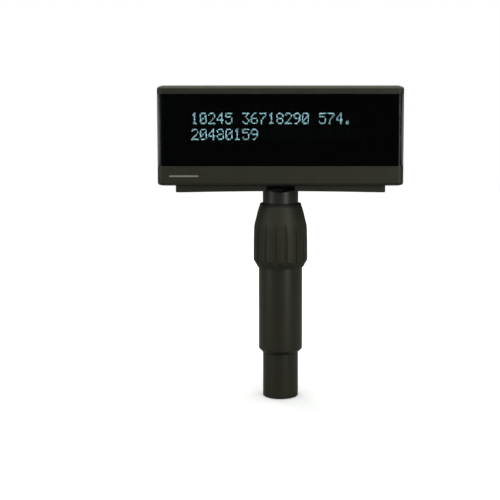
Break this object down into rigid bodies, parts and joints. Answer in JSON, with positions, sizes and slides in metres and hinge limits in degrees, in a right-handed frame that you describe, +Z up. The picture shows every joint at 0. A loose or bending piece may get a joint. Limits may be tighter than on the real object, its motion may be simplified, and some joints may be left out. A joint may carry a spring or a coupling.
{
  "type": "customer pole display",
  "caption": "Two-sided customer display head with a text line window on each face, tilting and turning on a telescoping pole with a ribbed twist lock.",
  "frame": {"origin": "centre of the pole's lower end face, where the pole enters a base or a lower pole", "axes": "+Z up along the pole, +X along the head's width, front display faces -Y, rear display faces +Y"},
  "size_m": [0.2026, 0.055, 0.2654],
  "materials": {
    "housing_plastic": "satin, fine moulded grain",
    "smoked_lens": "polished, smoked blue-green tint",
    "bracket_plastic": "matt",
    "seam_rubber": "matt",
    "tube_metal": "satin powder coat",
    "knob_plastic": "satin, fine moulded grain",
    "acetal": "natural, low friction",
    "fitting_metal": "black zinc casting",
    "screw_steel": "zinc plated",
    "black_steel": "black oxide",
    "display_glass": "clear float glass",
    "anode_glass": "glass plate with dark insulating layer",
    "phosphor": "pale phosphor dots on fine mesh",
    "filament_wire": "tungsten wire",
    "shield_film": "matt black foam",
    "circuit_board": "green solder mask",
    "chip_epoxy": "matt epoxy",
    "capacitor_sleeve": "shrink sleeve",
    "transformer_tape": "polyester tape",
    "connector_plastic": "natural nylon"
  },
  "bodies": {
    "pole": {"lower_tube": "tube_metal", "pole_sleeve": "tube_metal", "sleeve_grub_screws": "black_steel", "clamp_collet": "acetal"},
    "knob": {"locking_knob": "knob_plastic", "thrust_ring": "acetal", "wiper_ring": "seam_rubber"},
    "slider": {"guide_bush": "acetal", "bush_snap_clip": "screw_steel"},
    "neck": {"neck_tube": "tube_metal", "neck_fitting": "fitting_metal", "neck_fitting_pins": "black_steel"},
    "head": {"tilt_bracket": "bracket_plastic", "bracket_screws": "black_steel", "pivot_bolt": "screw_steel", "pivot_nut": "screw_steel", "friction_washers": "acetal", "cable_grommet": "seam_rubber", "mid_frame": "seam_rubber", "front_housing": "housing_plastic", "front_lens": "smoked_lens", "front_light_shield": "shield_film", "front_display_cover_glass": "display_glass", "front_display_anode_glass": "anode_glass", "front_display_cells": "phosphor", "front_display_filaments": "filament_wire", "front_display_pins": "screw_steel", "front_driver_board": "circuit_board", "front_board_screws": "screw_steel", "front_driver_chips": "chip_epoxy", "front_capacitors": "capacitor_sleeve", "front_power_transformer": "transformer_tape", "front_data_connector": "connector_plastic", "rear_housing": "housing_plastic", "rear_lens": "smoked_lens", "rear_light_shield": "shield_film", "rear_display_cover_glass": "display_glass", "rear_display_anode_glass": "anode_glass", "rear_display_cells": "phosphor", "rear_display_filaments": "filament_wire", "rear_display_pins": "screw_steel", "rear_driver_board": "circuit_board", "rear_board_screws": "screw_steel", "rear_driver_chips": "chip_epoxy", "rear_capacitors": "capacitor_sleeve", "rear_power_transformer": "transformer_tape", "rear_data_connector": "connector_plastic"}
  },
  "joints": [
    {"name": "knob_turn", "type": "hinge", "parent": "pole", "child": "knob", "pos_m": [0, 0, 0.138], "axis": [0, 0, 1], "range_deg": [0, 90]},
    {"name": "neck_slide", "type": "slide", "parent": "pole", "child": "slider", "axis": [0, 0, 1], "range_m": [0, 0.047]},
    {"name": "neck_swivel", "type": "hinge", "parent": "slider", "child": "neck", "pos_m": [0, 0, 0.13], "axis": [0, 0, 1], "range_deg": [-165, 165]},
    {"name": "head_tilt", "type": "hinge", "parent": "neck", "child": "head", "pos_m": [0, 0, 0.184], "axis": [1, 0, 0], "range_deg": [-15, 15]}
  ]
}
